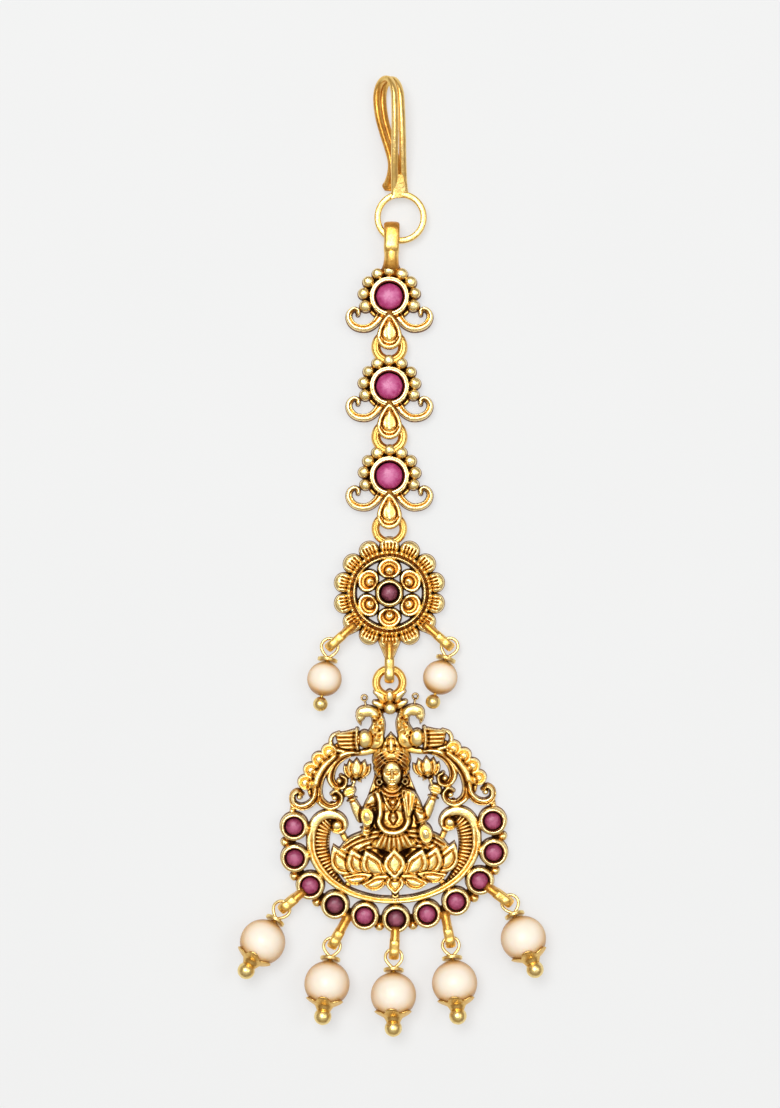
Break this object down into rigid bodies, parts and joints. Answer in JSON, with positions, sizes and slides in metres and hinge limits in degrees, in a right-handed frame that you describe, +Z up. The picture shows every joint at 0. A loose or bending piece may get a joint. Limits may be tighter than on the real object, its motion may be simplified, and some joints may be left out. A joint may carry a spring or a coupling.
{
  "type": "maang tikka",
  "caption": "Forehead ornament in antique gold: a hair hook, gem-set chain links, a flower medallion and an openwork goddess pendant with pearl drops.",
  "frame": {"origin": "middle of the outline, on the surface that the piece lies on", "axes": "+Z up off that surface, +Y along the chain towards the hair hook, +X to the right as seen from the front"},
  "size_m": [0.0384, 0.1196, 0.0056],
  "materials": {
    "antique_gold": "gold plated, polished high points, dark in the recesses",
    "gold_findings": "gold plated, bright",
    "ruby_glass": "pink to wine red, glossy",
    "pearl": "imitation pearl, cream with a soft lustre"
  },
  "bodies": {
    "root": {"hair_hook": "antique_gold", "chain_link_1": "antique_gold", "chain_stone_1": "ruby_glass", "chain_link_2": "antique_gold", "chain_stone_2": "ruby_glass", "chain_link_3": "antique_gold", "chain_stone_3": "ruby_glass", "medallion": "antique_gold", "medallion_stone": "ruby_glass", "small_drop_1_pin": "gold_findings", "small_drop_1_pearl": "pearl", "small_drop_1_washer": "gold_findings", "small_drop_2_pin": "gold_findings", "small_drop_2_pearl": "pearl", "small_drop_2_washer": "gold_findings", "pendant": "antique_gold", "pendant_stone_1": "ruby_glass", "pendant_stone_2": "ruby_glass", "pendant_stone_3": "ruby_glass", "pendant_stone_4": "ruby_glass", "pendant_stone_5": "ruby_glass", "pendant_stone_6": "ruby_glass", "pendant_stone_7": "ruby_glass", "pendant_stone_8": "ruby_glass", "pendant_stone_9": "ruby_glass", "pendant_stone_10": "ruby_glass", "pendant_stone_11": "ruby_glass", "large_drop_1_pin": "gold_findings", "large_drop_1_pearl": "pearl", "large_drop_1_washer": "gold_findings", "large_drop_1_cap": "gold_findings", "large_drop_2_pin": "gold_findings", "large_drop_2_pearl": "pearl", "large_drop_2_washer": "gold_findings", "large_drop_2_cap": "gold_findings", "large_drop_3_pin": "gold_findings", "large_drop_3_pearl": "pearl", "large_drop_3_washer": "gold_findings", "large_drop_3_cap": "gold_findings", "large_drop_4_pin": "gold_findings", "large_drop_4_pearl": "pearl", "large_drop_4_washer": "gold_findings", "large_drop_4_cap": "gold_findings", "large_drop_5_pin": "gold_findings", "large_drop_5_pearl": "pearl", "large_drop_5_washer": "gold_findings", "large_drop_5_cap": "gold_findings"}
  },
  "joints": []
}
